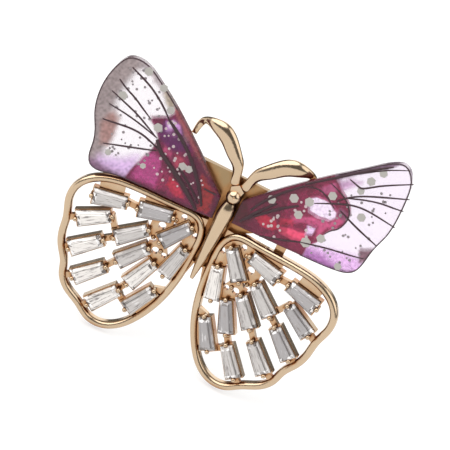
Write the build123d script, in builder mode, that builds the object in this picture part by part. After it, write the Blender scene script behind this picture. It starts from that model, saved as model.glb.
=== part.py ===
from build123d import *
import os
from math import cos, radians, sin, tan

os.makedirs("parts", exist_ok=True)

# A butterfly brooch in its worn position: +Z is up towards the head, the front faces -Y
# and +X is the wearer-facing viewer's right. The origin is the middle of the pin stem.
# All sizes are in millimetres.

# ---- where the ornament sits relative to the pin stem ----
SEAT_Y = -4.6          # the plane the wings are laid out on, in front of the stem
SEAT_Z = -4.0          # the stem crosses 4 mm above the ornament's layout centre
DIHEDRAL = 6.0         # each pair of wings leans forward by this angle

# ---- cut stones and their trays ----
STONE_LENGTH = 6.0
STONE_WIDE = 2.9
STONE_NARROW = 2.15
GIRDLE_LOW = 1.2       # heights above the layout plane, towards the front
GIRDLE_TOP = 1.65
TRAY_BACK = -0.4
TRAY_FLOOR = 0.35
TRAY_RIM = 1.15
TRAY_WALL = 0.2
STONE_FIT = 0.02       # clearance all round a stone
BEAD_R = 0.42

# Each stone as (outward distance, height, turn in degrees); the wide end points outwards.
STONES = [
    (18.7, -4.15, -12),
    (19.9, -8.35, -30),
    (19.2, -13.55, -41),
    (16.7, -18.05, -45),
    (12.65, -21.25, -52),
    (10.65, -2.9, -12),
    (12.85, -8.25, -40),
    (11.15, -11.7, -50),
    (8.5, -14.25, -65),
    (6.7, -18.8, -60),
    (5.9, -4.95, -52),
    (4.1, -9.75, -76),
]

# Bars that join a tray to its neighbour or to the frame band, as pairs of end points.
LINKS = [
    ((15.8, -3.5), (13.4, -3.6)),
    ((21.9, -9.4), (24.4, -10.8)),
    ((17.2, -6.8), (15.6, -9.3)),
    ((20.8, -15.0), (23.2, -16.2)),
    ((17.0, -11.6), (14.9, -10.1)),
    ((18.4, -19.7), (21.0, -21.0)),
    ((14.6, -16.0), (12.9, -13.8)),
    ((14.0, -23.0), (15.9, -25.0)),
    ((10.9, -19.0), (9.6, -16.8)),
    ((10.6, -6.4), (7.8, -7.0)),
    ((9.2, -9.4), (7.6, -7.5)),
    ((7.3, -11.6), (4.9, -12.4)),
    ((8.4, -21.2), (11.0, -19.4)),
    ((5.2, -16.2), (3.0, -15.6)),
    ((8.2, -2.4), (5.6, -1.0)),
    ((4.4, -3.0), (2.6, -1.6)),
    ((3.1, -7.2), (2.0, -5.6)),
]
LINK_WIDTH = 1.05
LINK_TOP = 0.75
# Solder beads on the links.
LINK_BEADS = [
    (7.0, -9.1), (9.2, -7.3), (16.9, -7.3), (15.6, -10.6), (13.3, -14.2), (10.2, -17.3), (6.9, -2.7),
]

# Stones whose tray is joined to the band by a web along one side: +1 above, -1 below.
WEBS = {1: 1, 6: 1, 10: -1, 12: -1}
# Cast plates between the inner stones, from the corner beside the body outwards, and the
# small round holes through them as (outward distance, height, radius).
INNER_PLATES = [
    [(1.95, -0.2), (8.4, -0.6), (8.0, -3.4), (6.6, -3.2), (4.6, -5.6), (3.2, -8.4), (2.0, -9.0)],
    [(7.0, -2.8), (10.6, -4.2), (10.6, -6.3), (8.4, -7.4), (7.0, -6.6)],
    [(6.6, -7.6), (9.6, -8.4), (9.6, -10.4), (8.0, -11.4), (5.4, -11.6), (5.6, -9.4)],
]
PLATE_HOLES = [(2.85, -3.9, 0.55), (5.85, -1.6, 0.55), (8.65, -4.7, 0.7), (7.9, -9.4, 0.65), (6.2, -9.6, 0.5)]

# ---- openwork frame of a lower wing ----
BAND_POINTS = [
    (6.5, -0.35), (10.6, -0.4), (15.2, -0.4), (19.8, -0.9), (22.9, -2.3), (24.8, -4.6),
    (25.1, -7.4), (24.2, -10.6), (23.8, -13.6), (22.8, -16.2), (21.5, -18.4), (20.8, -20.6),
    (18.9, -22.9), (16.2, -24.5), (13.6, -26.2), (10.8, -26.4), (8.2, -25.1), (5.9, -22.4),
    (4.1, -19.0), (2.9, -15.4), (2.2, -11.4), (1.9, -7.0), (2.2, -2.6), (3.6, -0.8),
]
BAND_WIDTH = 1.4
BAND_TOP = 1.15
BAND_KNEE = 0.12       # where the band's flat sides turn into its rounded front

# ---- resin upper wings ----
# From the root along the lower edge, round the tip and back down the leading edge. The two
# wings were cast and trimmed by hand, so their tips differ.
WING_LOWER = {
    "left": [(1.6, 1.0), (9.2, 1.15), (15.9, 1.45)],
    "right": [(1.95, 0.95), (9.2, 1.15), (15.9, 1.45)],
}
WING_TIP = {
    "left": [
        (20.6, 1.3), (22.8, 1.0), (24.3, 1.4), (25.1, 2.8), (25.3, 5.0), (25.7, 7.2), (26.9, 10.2), (27.5, 13.4),
        (27.3, 16.6), (26.4, 19.5), (25.0, 21.5), (22.9, 21.9),
    ],
    "right": [
        (21.4, 1.9), (24.3, 3.0), (25.3, 5.4), (25.8, 8.2), (26.8, 11.4), (27.2, 15.2), (27.1, 19.2),
        (26.3, 22.3), (24.6, 23.7), (22.4, 23.0),
    ],
}
WING_LEADING = {
    "left": [(18.9, 20.0), (14.8, 17.0), (10.0, 12.9), (6.0, 9.25), (1.7, 5.2)],
    "right": [(18.9, 20.3), (14.8, 17.0), (10.0, 12.9), (6.0, 9.25), (2.15, 5.5)],
}
WING_BACK = -0.4
WING_FRONT = 1.6
WING_ROUND = 0.3
ROOT_EDGE = 6.0        # rims longer than this are rounded; the hidden root edge stays sharp
# Each upper wing is glued on at its own small turn about the root and its own shift.
WING_ROOT = (3.0, 3.0)
WING_TURN = {"left": -2.0, "right": 2.0}
WING_SHIFT = {"left": -0.5, "right": 0.5}

# ---- body, head and antennae ----
BODY_LEAN = 1.5        # the insect's body leans a little to the viewer's right
LEAN_PIVOT = -8.0
BODY_AXIS = 1.3
# Spindle profile as (radius, height), from the tail to the neck.
BODY_PROFILE = [(0.32, -11.0), (0.72, -8.0), (1.12, -3.5), (1.4, 0.5), (1.38, 3.0), (1.0, 4.55)]
KEEL_HALF = 0.28
KEEL_ENDS = (-7.5, 4.0)
HEAD_R = 1.38
HEAD_UP = 5.75
DIMPLE_R = 0.3
# The block the antennae stand on, with a sloping shoulder for each.
KNUCKLE = [(-0.9, 6.2), (0.9, 6.2), (1.2, 7.34), (0, 8.18), (-1.2, 7.34)]
KNUCKLE_FRONT = 1.85
SHOULDER = 35.0
# Antenna stations as (outward, up, forward, width, depth), from the knuckle to the hidden tip.
ANTENNA = [
    (0.62, 7.746, 1.2, 1.1, 0.85),
    (1.2, 9.1, 1.3, 1.65, 1.15),
    (2.55, 11.85, 1.45, 2.4, 1.6),
    (4.9, 14.15, 1.5, 2.9, 1.9),
    (7.3, 15.4, 1.4, 2.8, 1.85),
    (9.0, 15.45, 0.9, 1.9, 1.4),
    (10.3, 14.95, 0.05, 1.3, 0.95),
    (10.9, 13.6, -0.2, 1.15, 0.8),
    (11.1, 12.0, -0.25, 1.0, 0.7),
]

# ---- centre plate ----
PLATE_BACK = SEAT_Y + 1.2
# One half of the front view, from the tail to the top edge.
PLATE_OUTLINE = [(1.6, -9.0), (1.9, -2.5), (5.0, 0.4), (9.0, 3.0), (9.0, 9.0)]
PLATE_FLAT = 1.3       # half width of the flat strip that carries the keel and knuckle
PLATE_FRONT = -0.27    # height of that strip
SUPPORT_TAB = (10.5, 12.3)
SUPPORT_THICK = 0.55

# ---- pin back ----
BAR_HALF_LENGTH = 11.0
BAR_HEIGHT = 2.6
BAR_THICK = 0.8
BAR_BACK = PLATE_BACK + BAR_THICK
HINGE_X = -9.4
EAR_GAP = 1.06
EAR_THICK = 0.5
EAR_R = 1.05
RIVET_R = 0.4
RIVET_HOLE_R = 0.42
RIVET_HEAD_R = 0.65
RIVET_HEAD_THICK = 0.25
EYE_R = 1.0
EYE_HOLE_R = 0.45
EYE_THICK = 1.0
STEM_R = 0.35
STEM_TAPER_X = 6.3
STEM_TIP_X = 10.8
STEM_TIP_R = 0.07
CATCH_X = 8.4
HOUSING_R = 1.75
HOUSING_BORE = 1.3
HOUSING_LENGTH = 1.6
HOUSING_SLOT = 1.5
SLEEVE_R = 1.24
SLEEVE_BORE = 0.62
SLEEVE_SLOT = 0.95
FLANGE_R = 1.6
FLANGE_THICK = 0.35
FLANGE_GAP = 0.05
THUMB_REACH = 2.9
THUMB_WIDTH = 0.9


def front_plane(height=0.0):
    """The layout plane seen from the front, moved forward by the height."""
    return Plane(origin=(0, SEAT_Y - height, SEAT_Z), x_dir=(1, 0, 0), z_dir=(0, -1, 0))


def wing_plane(height=0.0):
    """The right-hand wing's own plane, leaning forward about the body line."""
    lean = radians(DIHEDRAL)
    normal = Vector(-sin(lean), -cos(lean), 0)
    origin = Vector(0, SEAT_Y, SEAT_Z) + normal * height
    return Plane(origin=origin, x_dir=(cos(lean), -sin(lean), 0), z_dir=normal)


def trapezoid(grow=0.0):
    """Corner points of the stone's outline, made larger all round by grow."""
    half = STONE_LENGTH / 2 + grow
    wide = STONE_WIDE / 2 + grow
    narrow = STONE_NARROW / 2 + grow
    return [(-half, -narrow), (half, -wide), (half, wide), (-half, narrow)]


def stone_plane(place, height=0.0):
    """A plane on the wing, centred on one stone and turned along it."""
    out, up, turn = place
    base = wing_plane(height)
    return Plane(
        origin=base.from_local_coords((out, up, 0)),
        x_dir=base.x_dir.rotate(Axis((0, 0, 0), base.z_dir), turn),
        z_dir=base.z_dir,
    )


def stone_solid(place, fit=0.0):
    """A step-cut tapered baguette: two pavilion steps, a girdle and two crown steps."""
    with BuildPart() as cut_stone:
        with BuildSketch(stone_plane(place, GIRDLE_LOW)):
            Polygon(*trapezoid(fit), align=None)
        extrude(amount=GIRDLE_TOP - GIRDLE_LOW)
        with BuildSketch(stone_plane(place, GIRDLE_TOP)):
            Polygon(*trapezoid(fit), align=None)
        extrude(amount=0.35, taper=38)
        with BuildSketch(stone_plane(place, GIRDLE_TOP + 0.35)):
            Polygon(*trapezoid(fit - 0.35 * 0.7813), align=None)
        extrude(amount=0.22, taper=60)
        with BuildSketch(stone_plane(place, GIRDLE_LOW)):
            Polygon(*trapezoid(fit), align=None)
        extrude(amount=-(GIRDLE_LOW - TRAY_FLOOR), taper=28)
    return cut_stone.part


def to_side(solid, side):
    """The right-hand solid itself, or its mirror image across the body line."""
    return solid if side == "right" else mirror(solid, about=Plane.YZ)


def leaning(solid):
    """The solid turned with the insect's body about the lower end of the seat."""
    return solid.rotate(Axis((0, SEAT_Y, SEAT_Z + LEAN_PIVOT), (0, 1, 0)), BODY_LEAN)


def save(solid, name):
    """Label one node and write its file."""
    solid.label = name
    export_step(solid, f"parts/{name}.step")


# ---- lower wings: a cast band with trays, links, webs and bead prongs ----
bead_places = []
for out, up, turn in STONES:
    reach = STONE_LENGTH / 2 + 0.2
    for end in (-reach, reach):
        bead_places.append((out + end * cos(radians(turn)), up + end * sin(radians(turn))))

with BuildPart() as band:
    with BuildLine(wing_plane((TRAY_BACK + BAND_TOP) / 2)) as band_path:
        Spline(*BAND_POINTS, periodic=True)
    path = band_path.line
    with BuildSketch(Plane(origin=path @ 0, x_dir=wing_plane().z_dir, z_dir=path % 0)):
        with BuildLine():
            back = -(BAND_TOP - TRAY_BACK) / 2
            half = BAND_WIDTH / 2
            Polyline((BAND_KNEE, half), (back, half), (back, -half), (BAND_KNEE, -half))
            ThreePointArc((BAND_KNEE, -half), (-back, 0), (BAND_KNEE, half))
        make_face()
    sweep(path=path)

with BuildPart() as lower_frame:
    with BuildSketch(wing_plane(TRAY_BACK)):
        for number, edge in WEBS.items():
            out, up, turn = STONES[number - 1]
            aside = radians(turn + 90)
            with Locations((out + edge * 1.95 * cos(aside), up + edge * 1.95 * sin(aside))):
                Rectangle(4.4, 1.7, rotation=turn)
        for first, second in LINKS:
            with BuildLine():
                Line(first, second)
            trace(line_width=LINK_WIDTH)
        for corners in INNER_PLATES:
            Polygon(*corners, align=None)
        for out, up, hole in PLATE_HOLES:
            with Locations((out, up)):
                Circle(hole, mode=Mode.SUBTRACT)
    extrude(amount=LINK_TOP - TRAY_BACK)
    with BuildSketch(wing_plane(TRAY_BACK)):
        for out, up, turn in STONES:
            with Locations(Location((out, up, 0), (0, 0, turn))):
                Polygon(*trapezoid(TRAY_WALL), align=None)
    extrude(amount=TRAY_RIM - TRAY_BACK)
    with BuildSketch(wing_plane(TRAY_BACK)):
        with Locations(*bead_places):
            Circle(BEAD_R * 0.85)
    extrude(amount=GIRDLE_TOP - TRAY_BACK)
    with Locations(*[wing_plane(GIRDLE_TOP + 0.1).location * Location((*place, 0)) for place in bead_places]):
        Sphere(BEAD_R)
    with Locations(*[wing_plane(LINK_TOP).location * Location((*place, 0)) for place in LINK_BEADS]):
        Sphere(BEAD_R)
    with BuildSketch(wing_plane(TRAY_BACK - SUPPORT_THICK)):
        with Locations((sum(SUPPORT_TAB) / 2, 1.6)):
            Rectangle(SUPPORT_TAB[1] - SUPPORT_TAB[0], 5.0)
    extrude(amount=SUPPORT_THICK)
    add([stone_solid(place, STONE_FIT) for place in STONES], mode=Mode.SUBTRACT)
    add(band.part)

for side in ("left", "right"):
    save(to_side(lower_frame.part, side), f"lower_frame_{side}")
    for number, place in enumerate(STONES, start=1):
        save(to_side(stone_solid(place), side), f"stone_{side}_{number:02d}")

# ---- upper wings: translucent resin plates, each glued on at its own small turn ----
for side in ("left", "right"):
    outline = WING_LOWER[side] + WING_TIP[side] + WING_LEADING[side]
    with BuildSketch() as wing_outline:
        with BuildLine():
            Spline(*outline)
            Line(outline[-1], outline[0])
        make_face()
    root = Location((*WING_ROOT, 0))
    shift = Location((0, WING_SHIFT[side], 0))
    turn = Location((0, 0, 0), (0, 0, WING_TURN[side]))
    with BuildPart() as upper_wing:
        with BuildSketch(wing_plane(WING_BACK)):
            add(wing_outline.sketch.moved(shift * root * turn * root.inverse()))
        extrude(amount=WING_FRONT - WING_BACK)
        rims = upper_wing.faces().sort_by(SortBy.AREA)[-2:].edges()
        fillet([rim for rim in rims if rim.length > ROOT_EDGE], WING_ROUND)
    save(to_side(upper_wing.part, side), f"upper_wing_{side}")

# ---- centre plate behind the head, with a flat back for the pin bar ----
with BuildPart() as centre_plate:
    with BuildSketch(front_plane(-3.0)):
        Polygon(*PLATE_OUTLINE, *[(-out, up) for out, up in reversed(PLATE_OUTLINE)], align=None)
    extrude(amount=6.0)
    strip = SEAT_Y - PLATE_FRONT
    edge = SEAT_Y - TRAY_BACK / cos(radians(DIHEDRAL)) - 20 * tan(radians(DIHEDRAL))
    front = [(-20, edge), (-PLATE_FLAT, strip), (PLATE_FLAT, strip), (20, edge)]
    with BuildSketch(Plane.XY):
        Polygon(*front, (20, PLATE_BACK), (-20, PLATE_BACK), align=None)
    extrude(amount=60, both=True, mode=Mode.INTERSECT)
save(centre_plate.part, "centre_plate")

# ---- body: a tapering spindle with a grooved neck, a ball head, a keel and a knuckle ----
with BuildPart() as body:
    with BuildSketch(front_plane(BODY_AXIS)):
        with BuildLine():
            Spline(*BODY_PROFILE)
            Polyline(BODY_PROFILE[-1], (0, BODY_PROFILE[-1][1]), (0, BODY_PROFILE[0][1]), BODY_PROFILE[0])
        make_face()
    revolve(axis=Axis((0, SEAT_Y - BODY_AXIS, SEAT_Z), (0, 0, 1)))
    with BuildSketch(front_plane(PLATE_FRONT)):
        with Locations((0, sum(KEEL_ENDS) / 2)):
            Rectangle(2 * KEEL_HALF, KEEL_ENDS[1] - KEEL_ENDS[0])
    extrude(amount=BODY_AXIS - PLATE_FRONT)
    with BuildSketch(front_plane(PLATE_FRONT)):
        Polygon(*KNUCKLE, align=None)
    extrude(amount=KNUCKLE_FRONT - PLATE_FRONT)
    with Locations((0, SEAT_Y - BODY_AXIS, SEAT_Z + HEAD_UP)):
        Sphere(HEAD_R)
    with Locations((0.1, SEAT_Y - BODY_AXIS - HEAD_R - 0.12, SEAT_Z + HEAD_UP + 0.25)):
        Sphere(DIMPLE_R, mode=Mode.SUBTRACT)
save(leaning(body.part), "body")

# ---- antennae: crescents that thicken outwards and fold down behind the upper wings ----
points = [Vector(out, SEAT_Y - forward, SEAT_Z + up) for out, up, forward, _, _ in ANTENNA]
with BuildLine():
    antenna_curve = Spline(*points)
with BuildPart() as antenna:
    for number, (_, _, _, width, depth) in enumerate(ANTENNA):
        if number == 0:
            along = Vector(sin(radians(SHOULDER)), 0, cos(radians(SHOULDER)))
        else:
            along = antenna_curve.tangent_at(points[number])
        across = along.cross(Vector(0, 1, 0))
        with BuildSketch(Plane(origin=points[number], x_dir=across, z_dir=along)):
            Ellipse(width / 2, depth / 2)
    loft()
for side in ("left", "right"):
    save(leaning(to_side(antenna.part, side)), f"antenna_{side}")

# ---- pin bar: a strip across the back with two hinge ears and the catch's C housing ----
with BuildPart() as pin_bar:
    with BuildSketch(Plane.XZ.offset(-PLATE_BACK)):
        SlotOverall(2 * BAR_HALF_LENGTH, BAR_HEIGHT)
    extrude(amount=-BAR_THICK)
    for low in (-EAR_GAP / 2 - EAR_THICK, EAR_GAP / 2):
        with BuildSketch(Plane.XY.offset(low)):
            with Locations((HINGE_X, 0)):
                Circle(EAR_R)
            with Locations((HINGE_X, (BAR_BACK - 0.1) / 2)):
                Rectangle(2 * EAR_R, -BAR_BACK + 0.1)
            with Locations((HINGE_X, 0)):
                Circle(RIVET_HOLE_R, mode=Mode.SUBTRACT)
        extrude(amount=EAR_THICK)
    with BuildSketch(Plane.YZ.offset(CATCH_X - HOUSING_LENGTH / 2)):
        Circle(HOUSING_R)
        with Locations(((BAR_BACK - 0.1) / 2, 0)):
            Rectangle(-BAR_BACK + 0.1, 1.4)
        Circle(HOUSING_BORE, mode=Mode.SUBTRACT)
        with Locations((HOUSING_R, 0)):
            Rectangle(2 * HOUSING_R, HOUSING_SLOT, mode=Mode.SUBTRACT)
    extrude(amount=HOUSING_LENGTH)
save(pin_bar.part, "pin_bar")

# ---- hinge rivet ----
with BuildPart() as rivet:
    Cylinder(RIVET_R, EAR_GAP + 2 * EAR_THICK)
    for end in (-1, 1):
        with Locations((0, 0, end * (EAR_GAP / 2 + EAR_THICK + RIVET_HEAD_THICK / 2))):
            Cylinder(RIVET_HEAD_R, RIVET_HEAD_THICK)
save(rivet.part.moved(Location((HINGE_X, 0, 0))), "hinge_rivet")

# ---- pin stem: an eye on the rivet and a tapering wire ----
with BuildPart() as pin_stem:
    with BuildSketch(Plane.YZ.offset(HINGE_X + 0.6)):
        Circle(STEM_R)
    extrude(amount=STEM_TAPER_X - HINGE_X - 0.6)
    with BuildSketch(Plane.YZ.offset(STEM_TAPER_X)):
        Circle(STEM_R)
    with BuildSketch(Plane.YZ.offset(STEM_TIP_X)):
        Circle(STEM_TIP_R)
    loft()
    with Locations((HINGE_X, 0, 0)):
        Cylinder(EYE_R, EYE_THICK)
        Cylinder(EYE_HOLE_R, EYE_THICK, mode=Mode.SUBTRACT)
save(pin_stem.part, "pin_stem")

# ---- safety sleeve: a slotted tube with two flanges and a thumb tab ----
tube_start = CATCH_X - HOUSING_LENGTH / 2 - FLANGE_GAP - FLANGE_THICK
tube_length = HOUSING_LENGTH + 2 * (FLANGE_GAP + FLANGE_THICK)
with BuildPart() as sleeve:
    with BuildSketch(Plane.YZ.offset(tube_start)):
        Circle(SLEEVE_R)
    extrude(amount=tube_length)
    with BuildSketch(Plane.YZ.offset(tube_start)):
        Circle(FLANGE_R)
    extrude(amount=FLANGE_THICK)
    with BuildSketch(Plane.YZ.offset(tube_start + tube_length - FLANGE_THICK)):
        Circle(FLANGE_R)
        with Locations((0, -THUMB_REACH / 2)):
            Rectangle(THUMB_WIDTH, THUMB_REACH)
    extrude(amount=FLANGE_THICK)
    with BuildSketch(Plane.YZ.offset(tube_start)):
        Circle(SLEEVE_BORE)
        with Locations((FLANGE_R, 0)):
            Rectangle(2 * FLANGE_R, SLEEVE_SLOT)
    extrude(amount=tube_length, mode=Mode.SUBTRACT)
save(sleeve.part, "catch_sleeve")
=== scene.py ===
"""A butterfly brooch: gold plated casting, foil-backed stones and dyed resin wings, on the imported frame."""

import math
import random

import bpy
import numpy as np
from mathutils import Matrix, Vector, kdtree, noise


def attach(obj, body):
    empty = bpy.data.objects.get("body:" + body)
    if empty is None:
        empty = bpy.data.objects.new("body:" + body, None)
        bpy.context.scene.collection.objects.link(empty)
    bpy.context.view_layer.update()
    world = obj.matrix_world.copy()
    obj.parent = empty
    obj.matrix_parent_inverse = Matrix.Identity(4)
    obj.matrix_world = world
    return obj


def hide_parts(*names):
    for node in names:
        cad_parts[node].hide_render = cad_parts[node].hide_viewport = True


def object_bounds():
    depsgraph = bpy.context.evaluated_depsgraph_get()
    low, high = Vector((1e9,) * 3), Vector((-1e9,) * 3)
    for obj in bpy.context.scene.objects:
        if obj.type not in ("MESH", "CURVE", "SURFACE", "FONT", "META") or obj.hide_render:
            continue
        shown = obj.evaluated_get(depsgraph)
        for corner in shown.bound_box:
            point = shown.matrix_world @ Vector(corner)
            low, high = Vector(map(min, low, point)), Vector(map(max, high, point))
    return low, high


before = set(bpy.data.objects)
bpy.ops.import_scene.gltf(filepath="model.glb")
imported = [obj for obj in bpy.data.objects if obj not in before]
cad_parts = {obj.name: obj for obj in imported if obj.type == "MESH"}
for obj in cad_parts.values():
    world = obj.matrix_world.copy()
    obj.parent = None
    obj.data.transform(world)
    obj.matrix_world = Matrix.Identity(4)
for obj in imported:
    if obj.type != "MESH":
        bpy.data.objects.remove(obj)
cad_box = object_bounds()

# ---------------------------------------------------------------- named values
MM = 0.001
BODY = "brooch"
SIDES = {"left": -1.0, "right": 1.0}

# Layout of the wings. A place on a wing is (out, up, height): along it, up it and forward of it, in mm.
LEAN = math.radians(6.0)          # forward lean of each wing about the body line
SEAT = Vector((0.0, -4.6, -4.0))  # the layout's centre, from the middle of the pin stem, mm
RESIN_FRONT = 1.6                 # height of the resin wing's front face

# Plating: its colours from open faces to the deepest corners, where painted shade darkens and warms it.
# Lengths are in mm, noise scales per metre.
GOLD_LIGHT = (0.56, 0.425, 0.29)
GOLD_RECESS_SHADE = (0.44, 0.22, 0.085)
GOLD_DARKEST_SHADE = (0.24, 0.09, 0.03)
GOLD_BACK_LIGHT = (0.34, 0.235, 0.125)
STEEL_LIGHT = (0.70, 0.64, 0.54)
DEEP_STOP = 0.42                  # shade at which GOLD_RECESS_SHADE is reached
LIGHT_STOP = 0.85                 # shade from which a face counts as open
RECESS_REACH = 1.6                # how far around a point the recess shading looks
RECESS_POWER = 1.6
GRIME_SCALE = 900.0
GRIME_AMOUNT = 0.5
GRIME_BASE = 0.78
POLISH_SCALE = 1500.0
POLISH_SPREAD = 0.14              # how much the roughness varies from place to place
GRAIN_SCALE = 650.0
GRAIN_DEPTH = 0.05

# Stones: (out, up) and turn in degrees of each, as in the cast trays.
STONES = [
    (18.7, -4.15, -12), (19.9, -8.35, -30), (19.2, -13.55, -41), (16.7, -18.05, -45),
    (12.65, -21.25, -52), (10.65, -2.9, -12), (12.85, -8.25, -40), (11.15, -11.7, -50),
    (8.5, -14.25, -65), (6.7, -18.8, -60), (5.9, -4.95, -52), (4.1, -9.75, -76),
]
GIRDLE_LOW = 1.2                  # height that a stone's facet pattern is centred on, mm
STONE_HALF = 1.26                 # half width of a stone at its middle, mm
STONE_FLARE = 0.0625              # growth of that half width for each mm outwards
END_FACETS = 2.25                 # the end facets begin this far from a stone's middle, mm
END_SHARE = 0.75                  # how much the end facets differ from the streaks
FACET_EDGE = 0.62                 # share of the half width where the long facets meet
FACET_LINE = 0.035                # half width of the dark line there, as such a share
LINE_SHARE = 0.75                 # how much of the dark line's colour shows
STREAK_SCALE = 4.6
STREAK_STRETCH = 0.10             # streaks change this much slower along a stone than across it
CHIP_SCALE = 1.7
STONE_BUMP = 0.08                 # mm
# Colour of the dark lines where facets meet, then the facets' painted reflections from dark to bright
LINE_COLOUR = (0.10, 0.085, 0.08, 1.0)
FACET_REFLECTION_DARK = (0.13, 0.11, 0.10)
FACET_REFLECTION_GREY = (0.34, 0.31, 0.30)
FACET_REFLECTION_BRIGHT = (0.96, 0.94, 0.93)

# Painted light of each stone: how pale its facets' painted reflections are; the left wing's outer stones are
# the palest.
PALE = (0.80, 0.76, 0.72)
MIDDLE = (0.52, 0.49, 0.47)
DARK = (0.36, 0.34, 0.34)
LIT_STONE_SHADES = {
    "left": [MIDDLE, PALE, PALE, PALE, PALE, DARK, MIDDLE, MIDDLE, PALE, MIDDLE, DARK, MIDDLE],
    "right": [DARK, DARK, DARK, MIDDLE, MIDDLE, MIDDLE, MIDDLE, MIDDLE, DARK, DARK, MIDDLE, PALE],
}

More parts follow.
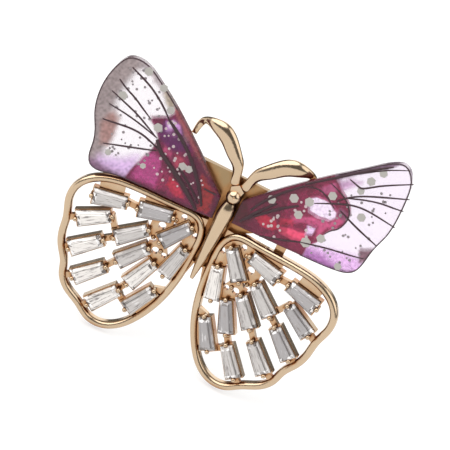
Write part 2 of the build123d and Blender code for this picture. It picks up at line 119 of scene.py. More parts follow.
# Dyed resin: colour and clearness of the wing itself, then its patches from the lowest to the topmost.
# Each patch has its outline (out, up), its colour, its clearness and the softness of its edge in mm.
OUTER = {"left": ((0.93, 0.89, 0.92), 0.82), "right": ((0.90, 0.82, 0.92), 0.84)}
PATCHES = {
    "left": [
        # warm grey margin round the tip, mottled
        ([(27.9, 19.5), (25.0, 20.9), (22.0, 20.6), (23.6, 18.6), (24.4, 15.5), (24.6, 12.5),
          (24.2, 9.6), (23.3, 7.0), (23.0, 3.4), (22.4, 0.6), (28.5, -1.5), (29.5, 15.0)],
         (0.36, 0.29, 0.29), 0.55, 0.9),
        ([(24.4, 10.6), (23.0, 9.8), (22.6, 6.8), (22.8, 4.6), (24.2, 4.4), (25.6, 8.0)],
         (0.42, 0.24, 0.22), 0.5, 0.6),
        ([(21.6, 21.0), (17.2, 18.4), (15.0, 16.0), (15.6, 15.4), (19.0, 17.6), (23.0, 19.9)],
         (0.52, 0.44, 0.46), 0.6, 0.5),
        ([(18.6, 18.6), (15.6, 16.6), (15.2, 14.6), (17.0, 15.6)], (0.44, 0.36, 0.28), 0.5, 0.5),
        # lilac glow along the lower edge, then a darker band of painted shade at the very edge
        ([(23.6, 2.2), (20.0, 3.4), (17.5, 5.0), (15.8, 1.0), (20.0, -1.5), (23.5, -1.0)],
         (0.72, 0.50, 0.80), 0.6, 1.3),
        ([(25.0, 1.2), (20.0, 0.9), (15.0, 0.9), (15.0, -1.6), (25.0, -1.8)], (0.27, 0.14, 0.24), 0.5, 0.7),
        # dark maroon towards the root
        ([(18.4, 12.2), (15.6, 13.6), (14.6, 15.2), (12.4, 16.0), (0.0, 6.0), (0.0, -1.0), (18.4, -1.0),
          (17.4, 3.4), (16.3, 5.4), (15.8, 7.2), (15.6, 9.4), (16.6, 10.8)],
         (0.17, 0.010, 0.055), 0.5, 0.22),
        ([(15.8, 13.0), (12.6, 13.8), (9.6, 10.0), (12.5, 8.6), (15.2, 9.6), (16.4, 10.8)],
         (0.12, 0.012, 0.10), 0.5, 0.5),
        ([(16.6, 5.4), (15.4, 7.0), (13.6, 6.4), (12.9, 3.6), (12.4, 1.2), (17.2, 1.2)],
         (0.44, 0.06, 0.22), 0.6, 0.4),
        ([(15.6, 12.9), (14.6, 13.6), (13.2, 13.3), (12.3, 12.0), (13.2, 11.0), (14.9, 11.3)],
         (0.62, 0.30, 0.66), 0.6, 0.25),
        ([(15.2, 12.6), (14.4, 13.2), (13.8, 12.6), (14.6, 12.0)], (0.93, 0.82, 0.95), 0.7, 0.12),
        ([(13.9, 12.2), (12.8, 12.2), (12.5, 11.1), (13.8, 10.9), (14.6, 11.4)],
         (0.20, 0.05, 0.16), 0.5, 0.3),
        ([(12.3, 13.0), (11.2, 12.2), (10.6, 10.6), (11.8, 11.2)], (0.22, 0.10, 0.13), 0.5, 0.4),
        ([(12.8, 5.0), (10.9, 4.4), (10.2, 1.6), (12.6, 1.2)], (0.36, 0.03, 0.12), 0.55, 0.4),
        ([(11.0, 4.1), (9.8, 4.0), (7.2, 1.7), (9.0, 1.4), (11.0, 2.6)], (0.55, 0.03, 0.07), 0.55, 0.3),
        ([(11.9, 8.2), (10.2, 8.2), (8.8, 6.4), (11.2, 6.0)], (0.42, 0.05, 0.10), 0.55, 0.35),
        ([(14.2, 8.8), (12.6, 8.4), (12.2, 7.3), (13.9, 7.4)], (0.45, 0.06, 0.16), 0.55, 0.3),
        ([(6.6, 7.2), (3.0, 5.0), (2.6, 1.2), (4.4, 1.0), (5.0, 4.0)], (0.50, 0.04, 0.045), 0.55, 0.5),
        # the bevelled leading edge, brownish red
        ([(15.2, 16.4), (15.2, 15.0), (9.0, 9.9), (3.0, 5.9), (2.0, 6.4), (9.0, 13.2)],
         (0.34, 0.09, 0.10), 0.5, 0.35),
    ],
    "right": [
        # dark leading edge
        ([(23.5, 25.2), (21.5, 23.0), (19.0, 21.0), (16.6, 18.8), (14.5, 16.6), (12.0, 16.0),
          (20.0, 25.0)],
         (0.20, 0.12, 0.18), 0.4, 0.3),
        ([(18.6, 18.6), (16.4, 18.0), (13.8, 16.0), (16.4, 15.8)], (0.63, 0.38, 0.60), 0.6, 0.7),
        # lilac along the lower edge
        ([(15.1, 4.4), (19.5, 5.8), (24.4, 7.0), (26.0, 5.0), (24.6, 3.0), (20.4, 2.2), (15.8, 2.0)],
         (0.80, 0.50, 0.84), 0.7, 0.7),
        ([(14.8, 4.0), (18.5, 4.2), (21.5, 3.5), (21.0, 1.9), (15.8, 1.8)], (0.50, 0.20, 0.52), 0.6, 0.5),
        ([(23.4, 8.2), (25.6, 9.4), (25.9, 7.4), (24.4, 6.2)], (0.25, 0.13, 0.17), 0.5, 0.3),
        # crimson
        ([(0.0, 0.0), (0.0, 9.0), (13.0, 18.5), (15.2, 16.9), (16.8, 15.5), (18.6, 14.2), (19.5, 12.6),
          (19.3, 10.9), (18.7, 9.6), (17.6, 8.8), (17.1, 7.8), (16.7, 6.0), (15.4, 4.4), (15.5, 1.0)],
         (0.24, 0.018, 0.065), 0.5, 0.12),
        ([(14.8, 16.6), (13.0, 14.6), (13.8, 13.8), (16.0, 15.2)], (0.46, 0.10, 0.22), 0.55, 0.3),
        ([(19.2, 13.0), (17.4, 13.2), (17.3, 12.2), (18.2, 10.6), (19.2, 11.0)],
         (0.26, 0.07, 0.14), 0.45, 0.3),
        ([(18.9, 11.4), (17.9, 11.6), (17.0, 10.0), (14.4, 9.4), (10.6, 7.7), (11.4, 7.0), (14.0, 8.2),
          (15.6, 8.4), (16.0, 6.0), (17.0, 8.8), (18.4, 9.8)],
         (0.62, 0.10, 0.24), 0.6, 0.3),
        ([(5.2, 4.6), (6.8, 5.7), (8.6, 5.8), (9.6, 4.6), (9.0, 3.9), (7.0, 3.6)],
         (0.80, 0.04, 0.10), 0.6, 0.2),
        ([(9.2, 6.2), (11.2, 7.4), (11.6, 6.4), (9.6, 5.4)], (0.50, 0.03, 0.08), 0.55, 0.3),
        ([(9.6, 5.2), (11.6, 5.7), (14.2, 6.2), (14.4, 4.8), (12.6, 4.1), (9.9, 4.2)],
         (0.92, 0.09, 0.20), 0.6, 0.2),
        ([(12.0, 11.9), (13.1, 12.8), (15.2, 13.1), (17.2, 12.1), (17.5, 11.0), (16.7, 10.1),
          (14.8, 9.7), (13.0, 9.8)],
         (0.88, 0.74, 0.92), 0.84, 0.12),
        ([(14.2, 5.9), (13.8, 7.7), (15.3, 7.9), (15.3, 6.4)], (0.84, 0.60, 0.88), 0.8, 0.12),
        ([(1.5, 1.4), (5.0, 2.0), (4.2, 4.6), (2.6, 7.4), (0.5, 6.0)], (0.10, 0.008, 0.02), 0.4, 0.6),
        ([(4.6, 8.6), (11.2, 14.8), (13.0, 15.0), (8.0, 9.6), (4.6, 6.6), (2.6, 6.0)],
         (0.15, 0.012, 0.04), 0.45, 0.4),
    ],
}
RESIN_VOXEL = 0.14                # spacing of the fine mesh that carries the dye, mm
NOISE_DEPTH = 0.3                 # the dye's noise changes this much slower through the thickness
WOBBLE_SCALE = 1.1                # noise that moves the patches' edges, per mm
WOBBLE_AMOUNT = 0.6
WOBBLE_LIMIT = 0.5                # mm
MOTTLE_SCALE = 2.3                # noise that varies the patches' colours, per mm
MOTTLE_AMOUNT = 0.42
LEAST_DYE = 0.01

# The resin's rim, darkened with painted shade, and a dark outline of painted shade round the tip, in mm.
SIDE_FACING = 0.3                 # a point belongs to the rim if its normal is this near the wing's plane
RIM_FADE = 0.32                   # width over which the darker rim fades out
RIM_SOLID = 0.4                   # share of that width that stays darkest at the edge
RIM_DEPTH = 0.7
RIM_SHADE_TINT = (0.30, 0.20, 0.27)
RIM_BRIGHTEST = 0.6
OUTLINE_CENTRE = (16.0, 9.5)      # every point of a wing's outline can be seen from here
OUTLINE_STEP = 3                  # degrees between points of the dark outline of painted shade
OUTLINE_INSET = 0.10
OUTLINE_RADIUS = 0.12
OUTLINE_SUNK = 0.14               # depth of the painted line's middle below the front face
SHADE_LINE_FROM = 14.5               # the dark line of painted shade runs round the tip only, beyond this distance out

# Veins: radius, then places (out, up) along the vein, in mm.
VEIN_GROWTH = 1.35                # the ribs are this much thicker than the listed radius
VEIN_END = 0.6                    # a vein's ends taper to this share of its radius
VEINS = {
    "left": [
        (0.13, [(24.5, 19.0), (22.4, 18.2), (20.0, 17.1), (17.9, 15.7), (16.2, 14.3), (15.3, 13.4)]),
        (0.24, [(15.3, 13.4), (13.9, 12.5), (11.7, 11.0), (9.7, 9.3), (7.5, 6.9), (5.5, 4.4), (4.1, 1.9)]),
        (0.12, [(25.6, 16.2), (24.2, 15.3), (21.8, 14.3), (19.7, 13.0), (18.2, 12.2)]),
        (0.12, [(26.0, 13.8), (23.0, 12.8), (20.5, 11.9), (18.3, 10.8), (15.8, 9.5)]),
        (0.11, [(25.5, 11.5), (23.3, 11.3), (20.5, 10.8), (18.0, 10.2), (16.1, 9.6)]),
        (0.13, [(25.5, 8.6), (23.1, 8.9), (20.6, 9.2), (18.4, 9.1), (16.2, 8.4), (14.1, 7.6)]),
        (0.12, [(23.7, 4.7), (21.2, 5.5), (18.9, 6.2), (16.4, 7.0), (14.9, 7.5)]),
        (0.30, [(15.7, 9.3), (14.6, 7.8), (12.5, 6.5), (9.6, 4.7), (6.2, 2.2), (4.7, 0.8)]),
        (0.20, [(10.4, 6.4), (7.3, 4.5), (4.8, 2.0)]),
        (0.20, [(5.0, 4.9), (2.8, 4.8)]),
    ],
    "right": [
        (0.09, [(17.1, 19.5), (19.9, 21.7), (22.4, 23.4), (24.9, 24.6)]),
        (0.17, [(10.4, 13.9), (12.6, 15.8), (15.0, 17.9), (17.4, 20.0), (20.0, 22.2), (22.2, 23.8)]),
        (0.12, [(16.7, 18.4), (18.3, 18.0), (19.1, 17.9), (20.0, 18.5), (22.2, 20.3), (26.4, 22.8)]),
        (0.12, [(16.4, 13.9), (17.3, 15.0), (19.1, 16.4), (21.1, 17.5), (24.1, 18.9), (27.0, 20.2)]),
        (0.11, [(17.6, 15.2), (18.5, 15.6), (20.6, 16.5), (23.2, 17.3), (25.5, 17.6), (27.0, 17.9)]),
        (0.12, [(13.2, 11.7), (15.7, 13.1), (18.6, 14.5), (20.8, 15.0), (23.6, 15.0), (27.0, 14.7)]),
        (0.13, [(17.6, 12.8), (19.8, 12.0), (22.8, 11.1), (25.7, 10.4)]),
        (0.16, [(7.4, 1.9), (10.4, 2.9), (14.1, 4.5)]),
        (0.11, [(14.1, 4.5), (16.1, 5.1), (19.2, 6.0), (22.7, 6.7), (24.8, 7.3)]),
        (0.24, [(3.3, 2.6), (5.2, 5.6), (7.6, 8.5)]),
        (0.20, [(3.3, 2.6), (6.4, 6.0), (9.0, 8.5), (11.1, 10.0)]),
        (0.22, [(4.1, 5.2), (5.7, 9.0), (10.4, 13.5)]),
        (0.09, [(14.2, 16.2), (16.8, 15.5), (18.6, 14.2), (19.5, 12.6), (19.3, 10.9),
                (18.7, 9.6), (17.6, 8.8), (17.1, 7.8)]),
        (0.10, [(10.4, 13.5), (12.4, 14.4), (14.6, 13.9), (16.6, 12.6)]),
    ],
}
# Glitter flakes: (out, up) and radius, in mm.
FLAKES = {
    "left": [(21.7, 19.5, 0.8), (18.3, 18.0, 0.75), (15.7, 15.0, 0.75), (16.4, 11.3, 0.85),
             (24.0, 13.8, 0.85), (9.9, 6.9, 0.75), (8.7, 6.9, 0.7), (22.3, 3.6, 0.6), (16.0, 4.0, 0.55)],
    "right": [(6.5, 8.7, 0.8), (9.8, 10.8, 0.85), (12.4, 11.5, 0.85), (15.4, 14.4, 0.8), (11.7, 8.6, 0.8),
              (14.9, 4.9, 0.95), (16.9, 6.8, 0.8), (21.3, 13.5, 0.8), (19.2, 17.5, 0.7), (20.0, 19.8, 0.8),
              (21.2, 22.0, 0.75), (21.6, 3.9, 0.7)],
}
FLAKE_SIDES = 6
FLAKE_THICK = 0.05
FLAKE_SUNK = 0.01                 # flakes and specks start this far under the front face

# Specks: a seeded random scatter over SPECK_FIELD, in mm.
SPECK_SEED = {"left": 7, "right": 11}
SPECK_COUNT = {"left": 100, "right": 66}
SPECK_FIELD = [(4.0, 2.2), (23.5, 3.6), (25.0, 11.0), (25.6, 18.0), (23.4, 21.0), (14.0, 14.2), (5.0, 5.8)]
FIELD_MARGIN = 0.3
SPECK_OUT = (4, 26)
SPECK_UP = (1, 22)
SPECK_RADIUS = (0.16, 0.30)
SPECK_SIDES = 7
SPECK_THICK = 0.035
CRIMSON_REACH = 15.5              # specks nearer the body than this lie on dark dye and are pale

# Floor, room and camera, in metres.
FLOOR_GAP = 0.0005                # the floor lies this far below the lowest point
FLOOR_HALF = 6.0
FLOOR_GREY = (0.42, 0.42, 0.42)
FLOOR_GLOW = 0.62                 # emission that keeps the shadows faint
ROOM_SHADE = (0.17, 0.165, 0.16)
# Soft boxes far away, as bright patches of a dim room: direction, cosine of the half angle, strength.
SOFT_BOXES = [
    ((-0.45, -0.35, 0.85), 0.80, 2.5),
    ((0.75, -0.20, 0.62), 0.88, 1.7),
    ((0.05, 0.80, 0.55), 0.90, 1.4),
    ((-0.95, -0.20, 0.18), 0.94, 1.1),
]
BOX_FADE = (-0.05, 0.04)          # a soft box's edge fades between these steps from its cosine
CAMERA_DISTANCE = 0.300
CAMERA_SENSOR = 36.0              # mm
AZIMUTH, ELEVATION, ROLL = (math.radians(a) for a in (2.0, 20.0, 26.22))
VIEW_WIDTH = 0.0772               # width of the view at the object
AIM = Vector((1.05, SEAT.y, SEAT.z)) * MM
CLIP = (0.01, 30.0)


# ---------------------------------------------------------------- places and small helpers
def on_wing(side, out, up, height):
    """A point on a wing, given in mm along it, up it and forward of it, in metres."""
    x = out * math.cos(LEAN) - height * math.sin(LEAN)
    y = -out * math.sin(LEAN) - height * math.cos(LEAN)
    return Vector((SIDES[side] * x, SEAT.y + y, SEAT.z + up)) * MM


def wing_direction(side, out, up, height):
    """The step in metres that on_wing makes for a step in mm along, up and forward of a wing."""
    return on_wing(side, out, up, height) - on_wing(side, 0, 0, 0)


def wing_coordinates(side, points):
    """The (out, up, height) of an array of points in metres, in mm."""
    p = points / MM
    x = SIDES[side] * p[:, 0]
    y = p[:, 1] - SEAT.y
    out = x * math.cos(LEAN) - y * math.sin(LEAN)
    height = -x * math.sin(LEAN) - y * math.cos(LEAN)
    return out, p[:, 2] - SEAT.z, height


def link(name, data):
    """A new object in the scene."""
    piece = bpy.data.objects.new(name, data)
    bpy.context.scene.collection.objects.link(piece)
    return piece


def mesh_object(name, verts, faces, material):
    """A mesh object with one material."""
    mesh = bpy.data.meshes.new(name)
    mesh.from_pydata([tuple(v) for v in verts], [], faces)
    mesh.update()
    mesh.materials.append(material)
    return link(name, mesh)


def paint(name, material):
    """Gives the mesh of a CAD node one material."""
    mesh = bpy.data.objects[name].data
    mesh.materials.clear()
    mesh.materials.append(material)


def rgba(colour):
    return (*colour, 1.0)


class Nodes:
    """A thin wrapper that makes node trees readable."""

    def __init__(self, tree):
        self.tree = tree

    def add(self, kind, inputs=None, **settings):
        node = self.tree.nodes.new(kind)
        for key, value in settings.items():
            setattr(node, key, value)
        for key, value in (inputs or {}).items():
            self.set(node, key, value)
        return node

    def set(self, node, key, value):
        if isinstance(value, bpy.types.NodeSocket):
            self.tree.links.new(value, node.inputs[key])
        else:
            node.inputs[key].default_value = value

    def math(self, operation, first, second=0.0, clamp=False):
        node = self.add("ShaderNodeMath", {0: first, 1: second}, operation=operation, use_clamp=clamp)
        return node.outputs[0]

    def dot(self, first, second):
        node = self.add("ShaderNodeVectorMath", {0: first, 1: tuple(second)}, operation="DOT_PRODUCT")
        return node.outputs["Value"]

    def vector(self, x, y, z):
        return self.add("ShaderNodeCombineXYZ", {"X": x, "Y": y, "Z": z}).outputs[0]

    def ramp(self, factor, stops):
        node = self.add("ShaderNodeValToRGB", {"Fac": factor})
        ramp = node.color_ramp
        while len(ramp.elements) < len(stops):
            ramp.elements.new(0.5)
        for element, (place, colour) in zip(ramp.elements, stops):
            element.position = place
            element.color = rgba(colour)
        return node.outputs["Color"]

    def mix(self, factor, first, second, blend="MIX"):
        node = self.add("ShaderNodeMix", {"Factor": factor}, data_type="RGBA", blend_type=blend)
        self.set(node, 6, first)
        self.set(node, 7, second)
        return node.outputs[2]

    def noise(self, vector, scale, detail=3.0, rough=0.5):
        inputs = {"Vector": vector, "Scale": scale, "Detail": detail, "Roughness": rough}
        return self.add("ShaderNodeTexNoise", inputs).outputs["Fac"]

    def bump(self, height, strength, distance):
        inputs = {"Strength": strength, "Distance": distance, "Height": height}
        return self.add("ShaderNodeBump", inputs).outputs["Normal"]


def new_material(name):
    """An empty material with its node helper and Principled shader."""
    material = bpy.data.materials.new(name)
    material.use_nodes = True
    shader = material.node_tree.nodes["Principled BSDF"]
    return material, Nodes(material.node_tree), shader


def set_values(shader, values):
    """Uniform values, set on the shader's own sockets."""
    for key, value in values.items():
        shader.inputs[key].default_value = value


# ---------------------------------------------------------------- materials
def gold_material(name, roughness=0.2, grain=0.25, recess_shade_share=1.0, light=GOLD_LIGHT):
    """Polished plating with painted shade that makes it warmer and darker in the recesses."""
    material, nodes, shader = new_material(name)
    place = nodes.add("ShaderNodeTexCoord").outputs["Object"]
    # painted shade: an ambient occlusion mask darkens and warms the plating in its recesses
    cavity = nodes.add("ShaderNodeAmbientOcclusion", {"Distance": RECESS_REACH * MM}, samples=6)
    open_part = nodes.math("POWER", cavity.outputs["AO"], RECESS_POWER, clamp=True)
    grime = nodes.math("MULTIPLY", nodes.noise(place, GRIME_SCALE, 4.0), GRIME_AMOUNT)
    shade = nodes.math("MULTIPLY", open_part, nodes.math("ADD", grime, GRIME_BASE), clamp=True)
    stops = [(0.0, GOLD_DARKEST_SHADE), (DEEP_STOP, GOLD_RECESS_SHADE), (LIGHT_STOP, light), (1.0, light)]
    nodes.set(shader, "Base Color", nodes.mix(recess_shade_share, rgba(light), nodes.ramp(shade, stops)))
    wear = nodes.math("MULTIPLY", nodes.noise(place, POLISH_SCALE), POLISH_SPREAD)
    nodes.set(shader, "Roughness", nodes.math("ADD", wear, roughness - POLISH_SPREAD / 2))
    uneven = nodes.noise(place, GRAIN_SCALE, 4.0)
    nodes.set(shader, "Normal", nodes.bump(uneven, grain, GRAIN_DEPTH * MM))
    set_values(shader, {"Metallic": 1.0})
    return material


def stone_axes(side, turn):
    """World directions along and across a stone."""
    angle = math.radians(turn)
    normal = wing_direction(side, 0, 0, 1).normalized()
    along = wing_direction(side, math.cos(angle), math.sin(angle), 0).normalized()
    return along, normal.cross(along)


def stone_material(name, side, place, lit_shade):
    """Cut crystal with a foil back, drawn as a pattern: painted reflections of pale and dark facets, with
    dark lines along the stone.
    """
    out, up, turn = place
    material, nodes, shader = new_material(name)
    point = nodes.add("ShaderNodeTexCoord").outputs["Object"]
    centre = tuple(on_wing(side, out, up, GIRDLE_LOW))
    local = nodes.add("ShaderNodeVectorMath", {0: point, 1: centre}, operation="SUBTRACT").outputs[0]
    length, width = (nodes.math("DIVIDE", nodes.dot(local, axis), MM) for axis in stone_axes(side, turn))
    # the stone widens outwards, so the pattern follows the share of the half width at each point
    half = nodes.math("ADD", nodes.math("MULTIPLY", length, STONE_FLARE), STONE_HALF)
    share = nodes.math("DIVIDE", width, half)
    own_slice = float(out + up)
    lines = nodes.vector(nodes.math("MULTIPLY", length, STREAK_STRETCH), share, own_slice)
    streak = nodes.noise(lines, STREAK_SCALE, 4.0, 0.62)
    ends = nodes.vector(length, width, own_slice)
    chips = nodes.add("ShaderNodeTexVoronoi", {"Vector": ends, "Scale": CHIP_SCALE}, feature="F1")
    chip_shade = nodes.add("ShaderNodeSeparateColor", {0: chips.outputs["Color"]}).outputs[0]
    at_end = nodes.math("GREATER_THAN", nodes.math("ABSOLUTE", length), END_FACETS)
    pattern = nodes.mix(nodes.math("MULTIPLY", at_end, END_SHARE), streak, chip_shade)
    # painted reflections: the streaks run from dark to bright facets
    stops = [(0.26, FACET_REFLECTION_DARK), (0.38, FACET_REFLECTION_GREY), (0.46, lit_shade), (0.62, lit_shade), (0.74, FACET_REFLECTION_BRIGHT)]
    facet = nodes.ramp(pattern, stops)
    # fine dark lines where the long facets meet
    edge = nodes.math("ABSOLUTE", nodes.math("SUBTRACT", nodes.math("ABSOLUTE", share), FACET_EDGE))
    line = nodes.math("LESS_THAN", edge, FACET_LINE)
    colour = nodes.mix(nodes.math("MULTIPLY", line, LINE_SHARE), facet, LINE_COLOUR)
    nodes.set(shader, "Base Color", colour)
    nodes.set(shader, "Normal", nodes.bump(streak, 0.35, STONE_BUMP * MM))
    set_values(shader, {"Metallic": 0.35, "Roughness": 0.22, "IOR": 1.55})
    set_values(shader, {"Coat Weight": 1.0, "Coat Roughness": 0.02})
    return material


def resin_material(name):
    """Dyed clear resin; colour, which holds the painted shade of the rim, and clearness come from the mesh's
    own attributes.
    """
    material, nodes, shader = new_material(name)
    dye_and_shade = nodes.add("ShaderNodeAttribute", attribute_name="dye_and_shade")
    clear = nodes.add("ShaderNodeAttribute", attribute_name="clear")
    nodes.set(shader, "Base Color", dye_and_shade.outputs["Color"])
    nodes.set(shader, "Transmission Weight", clear.outputs["Fac"])
    set_values(shader, {"Roughness": 0.12, "IOR": 1.35, "Coat Weight": 0.25, "Coat Roughness": 0.05})
    return material


def plain_material(name, colour, roughness, metallic=0.0):
    material, _, shader = new_material(name)
    set_values(shader, {"Base Color": rgba(colour), "Roughness": roughness, "Metallic": metallic})
    return material


def paint_metal():
    """Plating on every metal node; the back and the plate are rougher and browner."""
    cast = gold_material("champagne_gold")
    polished = gold_material("champagne_gold_polished", roughness=0.16, grain=0.1)
    back = gold_material("champagne_gold_back", roughness=0.3, grain=0.9, light=GOLD_BACK_LIGHT)
    steel = gold_material("plated_pin_steel", roughness=0.14, grain=0.05, recess_shade_share=0.2, light=STEEL_LIGHT)
    for material, names in (
        (cast, ("lower_frame_left", "lower_frame_right")),
        (polished, ("body", "antenna_left", "antenna_right", "hinge_rivet", "catch_sleeve")),
        (back, ("centre_plate", "pin_bar")),
        (steel, ("pin_stem",)),
    ):
        for name in names:
            paint(name, material)


def paint_stones():
    for side in SIDES:
        for number, (place, lit_shade) in enumerate(zip(STONES, LIT_STONE_SHADES[side]), start=1):
            crystal = stone_material(f"crystal_{side}_{number:02d}", side, place, lit_shade)
            paint(f"stone_{side}_{number:02d}", crystal)


# ---------------------------------------------------------------- dyed resin wings, with painted shade at the rim
def inside_distance(px, py, polygon):
    """Distance in mm to a polygon's edge, positive inside it."""
    corners = np.array(polygon, dtype=float)
    following = np.roll(corners, -1, axis=0)
    best = np.full(px.shape, 1e9)
    inside = np.zeros(px.shape, dtype=bool)
    for (ax, ay), (bx, by) in zip(corners, following):
        dx, dy = bx - ax, by - ay
        t = np.clip(((px - ax) * dx + (py - ay) * dy) / (dx * dx + dy * dy), 0.0, 1.0)
        best = np.minimum(best, np.hypot(px - ax - t * dx, py - ay - t * dy))
        if ay != by:
            crossing = (ay > py) != (by > py)
            inside ^= crossing & (px < (bx - ax) * (py - ay) / (by - ay) + ax)
    return np.where(inside, best, -best)


def smooth_noise(points, scale, seed):
    """Perlin noise at each point of an array in mm, from -1 to 1."""
    shift = Vector((seed * 17.3, seed * 5.1, seed * 9.7))
    return np.array([noise.noise(Vector(p) * scale + shift) for p in points])


def read_vectors(mesh, key):
    """A vector attribute of every vertex, as an array."""
    values = np.empty(len(mesh.vertices) * 3)
    mesh.vertices.foreach_get(key, values)
    return values.reshape(-1, 3)


def fine_copy(name, source):
    """A copy of an object's shape on an even, fine mesh."""
    piece = link(name, source.data.copy())
    even = piece.modifiers.new("even_mesh", "REMESH")
    even.mode = "VOXEL"
    even.voxel_size = RESIN_VOXEL * MM
    graph = bpy.context.evaluated_depsgraph_get()
    mesh = bpy.data.meshes.new_from_object(piece.evaluated_get(graph))
    piece.modifiers.clear()
    piece.data = mesh
    mesh.name = piece.name
    return piece


def dyed(side, out, up, height):
    """Colour and clearness of each point of a resin wing, from its patches."""
    flat = np.stack([out, up, height * NOISE_DEPTH], axis=1)
    wobble = smooth_noise(flat, WOBBLE_SCALE, 1)
    mottle = smooth_noise(flat, MOTTLE_SCALE, 2)
    base, base_clear = OUTER[side]
    colour = np.tile(np.array(base), (len(out), 1))
    clear = np.full(len(out), base_clear)
    for outline, dye_and_shade, clearness, soft in PATCHES[side]:
        depth = inside_distance(out, up, outline) + wobble * min(soft, WOBBLE_LIMIT) * WOBBLE_AMOUNT
        share = np.clip(depth / soft * 0.5 + 0.5, 0.0, 1.0)
        share = share * share * (3 - 2 * share)
        uneven = 1.0 + MOTTLE_AMOUNT * mottle[:, None]
        colour += share[:, None] * (np.array(dye_and_shade) * uneven - colour)
        clear += share * (clearness - clear)
    return colour, clear


def rim_distance(points, rim_points):
    """Distance in mm from each point to the nearest rim point."""
    tree = kdtree.KDTree(len(rim_points))
    for number in rim_points:
        tree.insert(points[number], int(number))
    tree.balance()
    return np.array([tree.find(point)[2] for point in points]) / MM


def outline_of(out, up):
    """Points round the wing's rim, in mm, from the vertices of its side faces."""
    across = out - OUTLINE_CENTRE[0]
    along = up - OUTLINE_CENTRE[1]
    bearing = np.degrees(np.arctan2(along, across)) // OUTLINE_STEP
    reach = np.hypot(across, along)
    points = []
    for step in sorted(set(bearing)):
        far = np.flatnonzero(bearing == step)
        far = far[np.argmax(reach[far])]
        inset = 1.0 - OUTLINE_INSET / reach[far]
        points.append((OUTLINE_CENTRE[0] + across[far] * inset, OUTLINE_CENTRE[1] + along[far] * inset))
    return points


def resin_wing(side, resin):
    """The CAD wing's shape on a fine mesh, dyed point by point, with painted shade at its rim. Returns its
    outline.
    """
    piece = fine_copy(f"resin_wing_{side}", bpy.data.objects[f"upper_wing_{side}"])
    mesh = piece.data
    points = read_vectors(mesh, "co")
    out, up, height = wing_coordinates(side, points)
    colour, clear = dyed(side, out, up, height)
    facing = read_vectors(mesh, "normal") @ np.array(wing_direction(side, 0, 0, 1)) / MM
    rim_points = np.flatnonzero(np.abs(facing) < SIDE_FACING)
    # painted shade: the rim is darkened, as the edge of thick clear plastic looks darker
    inward = rim_distance(points, rim_points)
    shade = np.clip(1.0 - (inward - RIM_FADE * RIM_SOLID) / RIM_FADE, 0.0, 1.0)[:, None] * RIM_DEPTH
    colour = colour * (1.0 - shade) + np.array(RIM_SHADE_TINT) * np.minimum(colour, RIM_BRIGHTEST) * shade
    dye_and_shade_values = np.concatenate([np.clip(colour, LEAST_DYE, 1.0), np.ones((len(out), 1))], axis=1)
    dye_and_shade = mesh.attributes.new("dye_and_shade", "FLOAT_COLOR", "POINT")
    dye_and_shade.data.foreach_set("color", dye_and_shade_values.ravel())
    clearness = mesh.attributes.new("clear", "FLOAT", "POINT")
    clearness.data.foreach_set("value", np.clip(clear, 0.0, 1.0))
    mesh.polygons.foreach_set("use_smooth", [True] * len(mesh.polygons))
    mesh.materials.clear()
    mesh.materials.append(resin)
    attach(piece, BODY)
    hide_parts(f"upper_wing_{side}")
    return outline_of(out[rim_points], up[rim_points])


# ---------------------------------------------------------------- veins, glitter and specks
def veins_and_shade_line(side, outline, material):
    """The veins, dark ribs half sunk in the resin's face, and a dark line of painted shade round the wing's
    tip.
    """
    curve = bpy.data.curves.new(f"veins_{side}", "CURVE")
    curve.dimensions = "3D"
    curve.bevel_depth = MM
    curve.bevel_resolution = 3
    curve.use_fill_caps = True
    for radius, places in VEINS[side]:
        spline = curve.splines.new("NURBS")
        spline.points.add(len(places) - 1)
        for point, (out, up) in zip(spline.points, places):
            point.co = (*on_wing(side, out, up, RESIN_FRONT), 1.0)
            point.radius = radius * VEIN_GROWTH
        for end in (0, len(places) - 1):
            spline.points[end].radius = radius * VEIN_GROWTH * VEIN_END
        spline.order_u = 3
        spline.use_endpoint_u = True
    # painted shade: a dark line along the wing's edge round its tip
    shade_line_places = [place for place in outline if place[0] > SHADE_LINE_FROM]
    spline = curve.splines.new("POLY")
    spline.points.add(len(shade_line_places) - 1)
    for point, (out, up) in zip(spline.points, shade_line_places):
        point.co = (*on_wing(side, out, up, RESIN_FRONT - OUTLINE_SUNK), 1.0)
        point.radius = OUTLINE_RADIUS
    curve.materials.append(material)
    piece = link(f"veins_{side}", curve)
    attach(piece, BODY)


def discs(name, side, places, corners, thick, material):
    """Thin prisms on the wing's face, all in one mesh, from (out, up, radius, turn) in mm and radians."""
    verts = []
    faces = []
    low = RESIN_FRONT - FLAKE_SUNK
    for out, up, radius, turn in places:
        start = len(verts)
        for level in (low, low + thick):
            for corner in range(corners):
                angle = turn + math.tau * corner / corners
                corner_out = out + radius * math.cos(angle)
                corner_up = up + radius * math.sin(angle)
                verts.append(on_wing(side, corner_out, corner_up, level))
        lower = [start + k for k in range(corners)]
        upper = [start + corners + k for k in range(corners)]
        faces.append(lower[::-1])
        faces.append(upper)
        for k in range(corners):
            after = (k + 1) % corners
            faces.append([lower[k], lower[after], upper[after], upper[k]])
    if SIDES[side] < 0:
        faces = [face[::-1] for face in faces]
    piece = mesh_object(name, verts, faces, material)
    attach(piece, BODY)


def specks_of(side, rng):
    """Random specks inside SPECK_FIELD: the pale ones on dark dye, then the grey ones."""
    pale = []
    grey = []
    while len(pale) + len(grey) < SPECK_COUNT[side]:
        out = rng.uniform(*SPECK_OUT)
        up = rng.uniform(*SPECK_UP)
        if inside_distance(np.array([out]), np.array([up]), SPECK_FIELD)[0] < FIELD_MARGIN:
            continue
        speck = (out, up, rng.uniform(*SPECK_RADIUS), rng.uniform(0, 1))
        if out < CRIMSON_REACH:
            pale.append(speck)
        else:
            grey.append(speck)
    return pale, grey


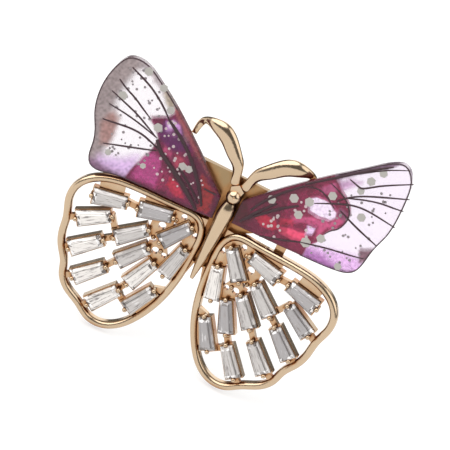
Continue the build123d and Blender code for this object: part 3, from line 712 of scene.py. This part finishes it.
# ---------------------------------------------------------------- floor, light and camera
def make_floor():
    """A pale floor just under the part."""
    level = cad_box[0][2] - FLOOR_GAP
    material, _, shader = new_material("pale_floor")
    set_values(shader, {"Base Color": rgba(FLOOR_GREY), "Roughness": 0.9})
    set_values(shader, {"Emission Color": (1.0, 1.0, 1.0, 1.0), "Emission Strength": FLOOR_GLOW})
    corners = [(-1, -1), (1, -1), (1, 1), (-1, 1)]
    verts = [(x * FLOOR_HALF, y * FLOOR_HALF, level) for x, y in corners]
    mesh_object("floor", verts, [[0, 1, 2, 3]], material)


def light_room():
    """The world: a dim room with the soft boxes as bright patches."""
    world = bpy.data.worlds.new("studio")
    world.use_nodes = True
    bpy.context.scene.world = world
    sky = Nodes(world.node_tree)
    direction = sky.add("ShaderNodeTexCoord").outputs["Generated"]
    shade = 0.0
    for towards, edge, strength in SOFT_BOXES:
        facing = sky.dot(direction, Vector(towards).normalized())
        fade = {"From Min": edge + BOX_FADE[0], "From Max": edge + BOX_FADE[1], "To Max": strength}
        patch = sky.add("ShaderNodeMapRange", {"Value": facing, **fade}, interpolation_type="SMOOTHSTEP")
        shade = sky.math("ADD", shade, patch.outputs[0])
    lit = sky.add("ShaderNodeCombineColor", {0: shade, 1: shade, 2: shade}).outputs[0]
    background = world.node_tree.nodes["Background"]
    sky.set(background, "Color", sky.mix(1.0, lit, rgba(ROOM_SHADE), blend="ADD"))
    background.inputs["Strength"].default_value = 1.0


def place_camera():
    """A long lens from the front, above and rolled, aimed at the wings' centre."""
    flat = math.cos(ELEVATION)
    back = Vector((math.sin(AZIMUTH) * flat, -math.cos(AZIMUTH) * flat, math.sin(ELEVATION)))
    level_right = Vector((math.cos(AZIMUTH), math.sin(AZIMUTH), 0.0))
    right = level_right * math.cos(ROLL) + back.cross(level_right) * math.sin(ROLL)
    lens = bpy.data.cameras.new("camera")
    lens.sensor_width = CAMERA_SENSOR
    lens.lens = CAMERA_SENSOR * CAMERA_DISTANCE / VIEW_WIDTH
    lens.clip_start, lens.clip_end = CLIP
    camera = link("camera", lens)
    turn = Matrix((right, back.cross(right), back)).transposed()
    camera.matrix_world = Matrix.Translation(AIM + back * CAMERA_DISTANCE) @ turn.to_4x4()
    bpy.context.scene.camera = camera
    bpy.context.scene.view_settings.view_transform = "Standard"


# ---------------------------------------------------------------- the scene
paint_metal()
paint_stones()

resin_with_painted_shade = resin_material("dyed_resin_with_painted_shade")
outlines = {side: resin_wing(side, resin_with_painted_shade) for side in SIDES}

vein_and_shade_line_dark = plain_material("vein_and_shade_line_brown", (0.040, 0.014, 0.020), 0.6)
flake_silver = plain_material("glitter_silver", (0.42, 0.40, 0.37), 0.35, metallic=0.3)
speck_grey = plain_material("speck_grey", (0.24, 0.21, 0.22), 0.4)
speck_pale = plain_material("speck_pale", (0.50, 0.40, 0.41), 0.4)
for side in SIDES:
    veins_and_shade_line(side, outlines[side], vein_and_shade_line_dark)
    rng = random.Random(SPECK_SEED[side])
    flakes = [(out, up, radius, rng.uniform(0, 1)) for out, up, radius in FLAKES[side]]
    discs(f"glitter_{side}", side, flakes, FLAKE_SIDES, FLAKE_THICK, flake_silver)
    pale_specks, grey_specks = specks_of(side, rng)
    discs(f"specks_pale_{side}", side, pale_specks, SPECK_SIDES, SPECK_THICK, speck_pale)
    discs(f"specks_grey_{side}", side, grey_specks, SPECK_SIDES, SPECK_THICK, speck_grey)

make_floor()
light_room()
place_camera()
